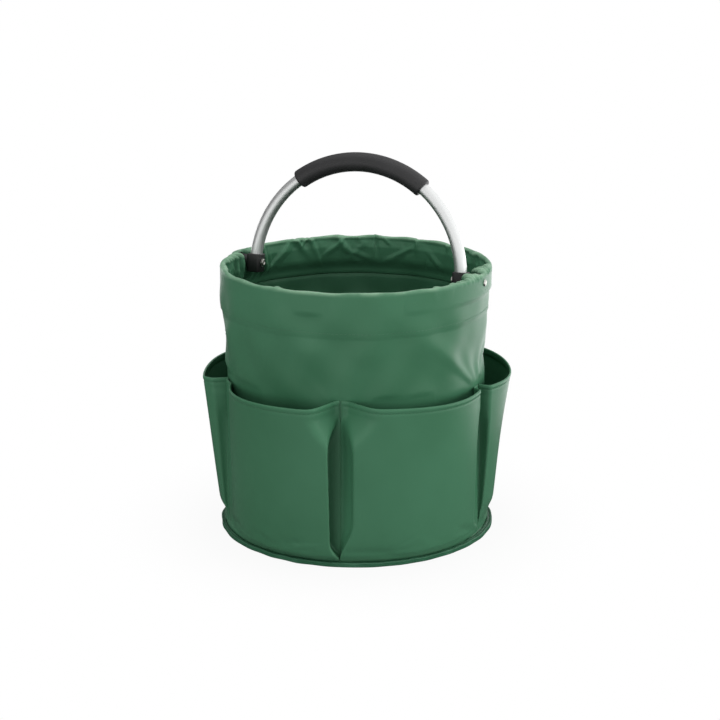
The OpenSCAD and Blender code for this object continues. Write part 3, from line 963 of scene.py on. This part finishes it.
def pocket_panel(name, index):
    """One pocket, with its mouth turned in and sewn."""
    rng = np.random.default_rng(40 + index)
    net = pocket_net(name, index, rng)
    middle, half = pocket_span(index)
    rows, cols = net.shape[:2]
    hold = np.full((rows, cols), 0.05)
    hold[:3] = 1
    hold[3:8] = 0.3
    hold[:, :2] = 1
    hold[:, -2:] = 1
    hold[-1] = np.maximum(hold[-1], 0.12)
    angle = np.arctan2(net[..., 1], net[..., 0]) - middle
    push = soft_waves(rng, angle, net[..., 2], fewest=6, most=16, tall=0.12, count=7) * 0.7 * MM
    start = net + net_normals(net, False) * (push * (1 - hold))[..., None]
    least = wall_radius(net[..., 2]) + 0.6 * MM

    def confine(points):
        points = kept_between(points, least, rim_r * 1.4)
        radius = np.hypot(points[..., 0], points[..., 1])
        turn = short_turn(np.arctan2(points[..., 1], points[..., 0]), middle)
        limit = half - np.arcsin(seam_space(points[..., 2]) / radius)
        turn = np.clip(turn, -limit, limit)
        return round_axis(radius, middle + turn, points[..., 2])

    net = settle(net, start, hold[..., None], across=1.008, along=1.004, rounds=90, closed=False,
                 confine=confine)
    below_mouth = pocket_levels[-1] - np.concatenate([[0, 0], pocket_levels])
    lip = 0.35 * np.exp(-((below_mouth - 1.4 * MM) / (1.3 * MM)) ** 2)
    groove = 0.5 * np.exp(-((below_mouth - pocket_hem_stitch) / (0.9 * MM)) ** 2)
    beside = rng.uniform(-0.8, 0.8, foot_crease_count) * half * rim_r
    spots = np.column_stack([beside, rng.uniform(9 * MM, 30 * MM, foot_crease_count)])
    turn = short_turn(np.arctan2(net[..., 1], net[..., 0]), middle)
    creased = creases(rng, lambda spot: turn * rim_r - spot, net[..., 2], spots, 1.0, 2.1)
    creased = creased * np.interp(net[..., 2], [7 * MM, 11 * MM], [0, 0.9 * MM])
    shift = ((lip - groove) * MM)[:, None] - creased
    net = confine(net + net_normals(net, False) * shift[..., None])
    normal = net_normals(net, False)
    flat = unit(normal[-1] * [1, 1, 0])
    bend = np.radians([45, 90, 135, 180])
    turned = [net[-1] - flat * pocket_hem_gap / 2 * (1 - np.cos(a)) + [0, 0, pocket_hem_gap / 2 * np.sin(a)]
              for a in bend]
    low = [turned[-1] - [0, 0, pocket_hem_h * s] for s in (0.25, 0.5, 0.75, 1)]
    whole = np.concatenate([net, turned, low])
    whole = kept_between(whole, wall_radius(whole[..., 2]) + 0.5 * MM, rim_r * 1.4)
    whole[0] = net[0]
    piece = fabric_piece(name + "_panel", whole, False, fabric_finish)
    hem_row = int(np.argmin(np.abs(below_mouth - pocket_hem_stitch)))
    sewing = [stitch_row(name + "_hem_stitches", net[hem_row, 3:-3], normal[hem_row, 3:-3])]
    return piece, sewing


# Base

def base_panel():
    """Round base of fabric, lifted at its edge to lie on the binding."""
    rng = np.random.default_rng(5)
    cols = 120
    radius = np.concatenate([np.linspace(3 * MM, 130 * MM, 20),
                             np.linspace(134 * MM, flange_r - 1.6 * MM, 10)])
    angle = np.linspace(0, WHOLE_TURN, cols, endpoint=False)[None, :]
    lift = ease((radius - (flange_r - 10.5 * MM)) / (2.5 * MM)) * fabric_t
    waves = soft_waves(rng, angle, radius[:, None], fewest=2, most=9, tall=0.05, count=8)
    puckers = np.abs(waves) * 0.25 * MM
    puckers = puckers * np.interp(radius, [0, 60 * MM, 120 * MM, 136 * MM], [0.3, 1, 1, 0])[:, None]
    net = round_axis(radius[:, None], angle, fabric_t / 2 + lift[:, None] + puckers)
    centre = [list(range(cols))[::-1]]
    return fabric_piece("base_cloth", net, True, fabric_finish, centre)


def base_binding():
    """Tape folded round the edge of the base seam, a little uneven as sewn tape is."""
    rng = np.random.default_rng(6)
    cols = 300
    angle = np.linspace(0, WHOLE_TURN, cols, endpoint=False)
    under = flange_r - 8.3 * MM
    over = flange_r - 3.9 * MM
    edge = flange_r
    top = binding_h
    tape_t = 1.0 * MM
    profile = np.array([
        (under, tape_t), (under - 0.1 * MM, tape_t / 2), (under, 0),
        (edge - 0.8 * MM, 0), (edge - 0.2 * MM, 0.3 * MM), (edge, 1 * MM),
        (edge + 0.1 * MM, top * 0.3), (edge - 0.35 * MM, top / 2), (edge + 0.1 * MM, top * 0.7),
        (edge, top - 1 * MM), (edge - 0.3 * MM, top - 0.3 * MM), (edge - 0.9 * MM, top),
        (edge - 1.5 * MM, top - 0.2 * MM), (edge - 2.2 * MM, top - 0.9 * MM),
        (edge - 2.9 * MM, top - 0.2 * MM),
        (over, top), (over - 0.1 * MM, top - tape_t / 2), (over, top - tape_t + 0.05 * MM),
        (edge - 1.2 * MM, top - tape_t), (edge - tape_t, top / 2), (edge - 1.2 * MM, tape_t),
    ])
    wander = soft_waves(rng, angle, 0, fewest=6, most=40, tall=1.0, count=14)
    rise = soft_waves(rng, angle, 0, fewest=8, most=50, tall=1.0, count=14)
    out = np.clip((profile[:, :1] - over) / (edge - 1 * MM - over), 0, 1)
    pulled_half_w = 70 * MM
    pulled_out = 2 * MM * np.exp(-(from_angle(angle, drawn_in_angle) / pulled_half_w) ** 2)
    radius = profile[:, :1] + (0.25 * MM * wander + pulled_out) * out
    height = profile[:, 1:] + np.clip(0.2 * MM * rise, -0.1 * MM, 0.6 * MM) * (profile[:, 1:] > top / 2)
    net = np.swapaxes(round_axis(radius, angle[None, :], height), 0, 1)
    rows, cols = net.shape[:2]
    faces = net_faces(rows + 1, cols, True)
    faces = (np.array(faces) % (rows * cols)).tolist()
    piece = new_piece("base_tape", net, faces, tape_finish)
    path = round_axis(flange_r - 2.3 * MM, angle, top - 0.65 * MM - shown_t / 2)
    sewing = stitch_row("base_tape_stitches", path, np.tile([0.0, 0.0, 1.0], (len(angle), 1)), True)
    return piece, sewing


# Handle

def leaned(points):
    """Points of the upright handle, turned back about the pivots to its lean."""
    x, back, up = np.moveaxis(points, -1, 0)
    up = up - pivot_z
    turned_back = back * math.cos(handle_lean) + up * math.sin(handle_lean)
    turned_up = up * math.cos(handle_lean) - back * math.sin(handle_lean)
    return np.stack([x, turned_back, pivot_z + turned_up], -1)


def grip_sleeve():
    """Foam sleeve bent along the tube, slit along its length, with rounded ends and lips."""
    slit_half = math.asin(1.0 * MM / grip_r)
    slit_at = math.radians(35)
    bore_r = tube_r + 0.1 * MM
    along = np.concatenate([[0, 0.4, 1.0, 1.8, 3.0], np.linspace(6, 50, 16)]) * MM
    length = 2 * grip_half_sweep * bend_r
    run = np.concatenate([along, np.linspace(length * 0.36, length * 0.64, 14), (length - along)[::-1]])
    run = np.unique(np.round(run, 6))
    around = np.linspace(slit_half, WHOLE_TURN - slit_half, 73)
    lip = np.minimum(around - slit_half, WHOLE_TURN - slit_half - around) * grip_r
    end = np.minimum(run, length - run)

    def rounding(distance, radius):
        left = np.clip(radius - distance, 0, radius)
        return radius - np.sqrt(np.maximum(radius ** 2 - left ** 2, 0))

    outer = grip_r - np.maximum(rounding(end, 2.2 * MM)[:, None], rounding(lip, 0.8 * MM)[None, :])
    inner = np.full_like(outer, bore_r)
    turn = (run - length / 2) / bend_r

    def ring(radius):
        out = bend_r + radius * np.cos(around + slit_at)[None, :]
        y = radius * np.sin(around + slit_at)[None, :]
        return leaned(np.stack([out * np.sin(turn)[:, None], y, bend_z + out * np.cos(turn)[:, None]], -1))

    skin = ring(outer)
    bore = ring(inner)
    rows, cols = skin.shape[:2]
    count = rows * cols
    faces = np.array(net_faces(rows, cols, False))
    both = faces.tolist() + (faces[:, ::-1] + count).tolist()
    edge = [(i * cols, (i + 1) * cols) for i in range(rows - 1)]
    edge += [((i + 1) * cols - 1 + cols, (i + 1) * cols - 1) for i in range(rows - 1)]
    edge += [(j + 1, j) for j in range(cols - 1)]
    edge += [((rows - 1) * cols + j, (rows - 1) * cols + j + 1) for j in range(cols - 1)]
    both += [[a, b, b + count, a + count] for a, b in edge]
    points = np.concatenate([skin.reshape(-1, 3), bore.reshape(-1, 3)])
    return new_piece("grip_foam", points, both, foam_finish)


def rounded_outline(half_x, half_y, corner, per_corner=9):
    """A rounded rectangle about the origin."""
    points = []
    for sx, sy, first in ((1, 1, 0), (-1, 1, 90), (-1, -1, 180), (1, -1, 270)):
        turn = np.radians(first + np.linspace(0, 90, per_corner))
        centre = np.array([sx * (half_x - corner), sy * (half_y - corner)])
        points.append(centre + corner * np.stack([np.cos(turn), np.sin(turn)], 1))
    return np.concatenate(points)


def pivot_lathe(name, profile, side, finish, steps=56):
    """A body turned about the pivot axis from (place along it, radius) points, on the right or the left."""
    turn = np.linspace(0, WHOLE_TURN, steps, endpoint=False)
    rings = [np.stack([np.full(steps, side * x), side * r * np.cos(turn), pivot_z + r * np.sin(turn)], 1)
             for x, r in profile]
    return lofted(name, rings, finish)


def pivot_socket(name, side):
    """Moulded socket round the end of the tube, with a round hub towards the rim."""
    hub_out = socket_high.x
    block_in = socket_low.x
    block_out = block_in + socket_t
    mid_x = (block_in + block_out) / 2
    half_x = socket_t / 2
    half_y = socket_half_w
    low = pivot_z - socket_down
    top = pivot_z + socket_up
    soften = ((1.1, 0.0), (0.75, 0.12), (0.35, 0.4), (0.1, 0.75), (0.0, 1.1))
    rings = []

    def level(inset, z):
        outline = rounded_outline(half_x - inset, half_y - inset, 3 * MM - inset * 0.5)
        rings.append(np.column_stack([outline[:, 0] + mid_x, outline[:, 1], np.full(len(outline), z)]))

    for inset, rise in soften:
        level(inset * MM, low + rise * MM)
    for inset, drop in soften[::-1]:
        level(inset * MM, top - drop * MM)
    outline = rings[-1]
    mouth_x = math.sqrt(bend_r ** 2 - (top - bend_z) ** 2)
    turn = np.arctan2(outline[:, 1], outline[:, 0] - mouth_x)
    for gap, drop in ((0.45 * MM, 0), (0.2 * MM, 0.25 * MM), (0.15 * MM, 5 * MM)):
        radius = tube_r + gap
        circle = np.column_stack([mouth_x + radius * np.cos(turn), radius * np.sin(turn),
                                  np.full(len(turn), top - drop)])
        rings.append(circle)
    rings = np.array(rings)
    rings[..., 0] *= side
    rings[..., 1] *= side
    block = lofted(name + "_block", leaned(rings), nylon_finish)
    hub_r = 7.5 * MM
    hub = [(block_out - 2 * MM, hub_r), (block_out, hub_r), (hub_out - 0.6 * MM, hub_r),
           (hub_out - 0.15 * MM, hub_r - 0.2 * MM), (hub_out, hub_r - 0.7 * MM)]
    return joined(name, [block, pivot_lathe(name + "_hub", hub, side, nylon_finish)])


def pivot_rivet(name, side):
    """Tubular rivet: domed head on the wall, shank, and an end rolled over inside the bag."""
    head_r = rivet_high.y
    head_x = rivet_high.x
    head_h = 2 * MM
    shank_r = 2.5 * MM
    end = rivet_low.x
    rolled = [(1.4, 2.5), (1.35, 3.1), (1.1, 3.5), (0.7, 3.68), (0.3, 3.5), (0.05, 3.05), (0.05, 2.55),
              (0.3, 2.1), (0.8, 1.75), (1.6, 1.55), (5.0, 1.5)]
    dome_turn = np.radians(np.linspace(4, 90, 9))
    profile = [(head_x - head_h * (1 - math.cos(a)), head_r * math.sin(a)) for a in dome_turn]
    profile += [(head_x - head_h - 0.1 * MM, head_r - 0.3 * MM), (head_x - head_h - 0.1 * MM, shank_r)]
    profile += [(end + x * MM, r * MM) for x, r in rolled]
    return pivot_lathe(name, profile[::-1], side, steel_finish)


# Assembling the bag

def keep_cad(node, finish):
    """Gives a CAD node that stays in view its finish."""
    shown = frame["nodes"][node]
    if not shown.material_slots:
        shown.data.materials.append(finish)
    for slot in shown.material_slots:
        slot.material = finish


def fit(piece, body, slot, *nodes):
    """Puts a piece on its body and hides the nodes it stands for; slot is not used."""
    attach(piece, body)
    if nodes:
        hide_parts(*nodes)


wall, wall_sewing = side_wall()
fit(wall, "bag", "coated_fabric", "side_wall")
for row in wall_sewing:
    fit(row, "bag", "binding_tape")

for index, name in enumerate(pocket_names):
    panel, sewing = pocket_panel(name, index)
    fit(panel, "bag", "coated_fabric", name)
    for row in sewing:
        fit(row, "bag", "binding_tape")

base = base_panel()
fit(base, "bag", "coated_fabric", "base_panel")

tape, tape_sewing = base_binding()
fit(tape, "bag", "binding_tape", "base_binding")
fit(tape_sewing, "bag", "binding_tape")

grip = grip_sleeve()
fit(grip, "handle", "foam", "grip_sleeve")

for side, hand in ((1, "right"), (-1, "left")):
    fit(pivot_socket(f"socket_{hand}_moulding", side), "handle", "nylon", f"socket_{hand}")
    fit(pivot_rivet(f"pivot_rivet_{hand}_turned", side), "bag", "rivet_steel", f"pivot_rivet_{hand}")
    keep_cad(f"rivet_washer_{hand}", steel_finish)
    keep_cad(f"hub_washer_{hand}", nylon_finish)
keep_cad("handle_tube", tube_finish)
keep_cad("base_board", board_finish)
keep_cad("rim_hoop", board_finish)


# Camera

camera_turn = math.radians(22.67)
camera_rise = math.radians(15.69)
camera_far = 1.9336
sensor_mm = 36
lens_mm = 89.22
aim_z = 181.06 * MM
aim_right = 4.4 * MM
UP = Vector((0, 0, 1))
view_right = Vector((math.cos(camera_turn), math.sin(camera_turn), 0))
view_front = Vector((math.sin(camera_turn), -math.cos(camera_turn), 0))


def photo_camera():
    """The camera at the photograph's viewing angle."""
    back = view_front * math.cos(camera_rise) + UP * math.sin(camera_rise)
    data = bpy.data.cameras.new("camera")
    data.sensor_width = sensor_mm
    data.lens = lens_mm
    camera = bpy.data.objects.new("camera", data)
    camera.location = UP * aim_z + view_right * aim_right + back * camera_far
    camera.rotation_euler = (-back).to_track_quat("-Z", "Y").to_euler()
    scene.collection.objects.link(camera)
    scene.camera = camera


photo_camera()


# Studio

# The lights are turned to this height of the bag
lit_z = 0.2


def softbox(name, right, front, up, wide, tall, power):
    """A soft light out of sight of gloss, placed as seen from the camera and turned to the bag."""
    data = bpy.data.lights.new(name, "AREA")
    data.shape = "RECTANGLE"
    data.size = wide
    data.size_y = tall
    data.energy = power
    light = bpy.data.objects.new(name, data)
    light.location = view_right * right + view_front * front + UP * up
    aim = UP * lit_z - light.location
    light.rotation_euler = aim.to_track_quat("-Z", "Y").to_euler()
    light.visible_glossy = False
    scene.collection.objects.link(light)


def as_viewed(x, y):
    """How far to the right and to the front a place lies, as seen from the camera."""
    return x * view_right.x + y * view_right.y, x * view_front.x + y * view_front.y


def rays_of(nodes, *kinds):
    """1 for rays of any of these kinds."""
    rays = [nodes.node("ShaderNodeLightPath", out=f"Is {kind} Ray") for kind in kinds]
    found = rays[0]
    for ray in rays[1:]:
        found = found.larger(ray)
    return found


def white_world(overhead):
    """White to the eye and in glass; it lights from overhead, and gloss from the front, right and above."""
    world = bpy.data.worlds.new("studio")
    scene.world = world
    nodes = Nodes(world)
    x, y, z = nodes.axes(nodes.node("ShaderNodeTexCoord", out="Generated"))
    to_right, to_front = as_viewed(x, y)
    light = nodes.spread(z, 0.05, 0.6, 0.0, overhead)
    gloss = nodes.spread(to_right, -0.3, 0.6, 0.2, 1.2).larger(nodes.spread(to_front, 0.0, 0.8, 0.0, 1.0))
    gloss = gloss.larger(nodes.spread(z, 0.4, 0.9))
    unseen = light + rays_of(nodes, "Glossy") * (gloss - light)
    strength = unseen + rays_of(nodes, "Camera", "Transmission") * (1 - unseen)
    shade = nodes.node("ShaderNodeBackground", sockets={"Color": (1, 1, 1, 1), "Strength": strength})
    nodes.node("ShaderNodeOutputWorld", sockets={"Surface": shade})


def pale_floor():
    """White floor that keeps the bag's shadow near it and is plain white further off."""
    nodes = new_finish("floor_white")
    x, y, z = nodes.axes(nodes.place())
    away = (x * x + y * y) ** 0.5
    shadow_kept = nodes.spread(away, 0.14, 0.3, 0.07, 0.0)
    to_right, to_front = as_viewed(x, y)
    to_edge = to_right * 0.6 - to_front * 0.8
    brightest = 2.4
    in_gloss = nodes.spread(to_edge, 0.36, 0.54, 0.08, brightest)
    in_gloss = in_gloss.larger(nodes.spread(to_front, 0.4, 1.0, 0.0, 1.25))
    level = in_gloss + rays_of(nodes, "Camera", "Transmission") * (1 - in_gloss)
    shown = nodes.mix(level / brightest, (0, 0, 0, 1), (1, 1, 1, 1))
    white = nodes.node("ShaderNodeEmission", sockets={"Color": shown, "Strength": brightest})
    plain = nodes.node("ShaderNodeBsdfDiffuse", sockets={"Color": (0.5, 0.5, 0.5, 1)})
    share = rays_of(nodes, "Camera", "Glossy", "Transmission") * (1 - shadow_kept)
    shade = nodes.node("ShaderNodeMixShader", sockets={0: share, 1: plain, 2: white})
    nodes.node("ShaderNodeOutputMaterial", sockets={"Surface": shade})
    half = 30
    corners = [(-half, -half, 0), (half, -half, 0), (half, half, 0), (-half, half, 0)]
    floor = new_piece("floor", np.array(corners, float), [[0, 1, 2, 3]], nodes.owner)


white_world(overhead=1.0)
pale_floor()
softbox("left", right=-1.75, front=2.4, up=0.5, wide=2.4, tall=0.9, power=36)
softbox("side", right=2.8, front=0.7, up=0.5, wide=2.4, tall=0.9, power=60)
softbox("top", right=0.2, front=-0.3, up=3.2, wide=1.6, tall=1.6, power=50)
scene.view_settings.view_transform = "Standard"
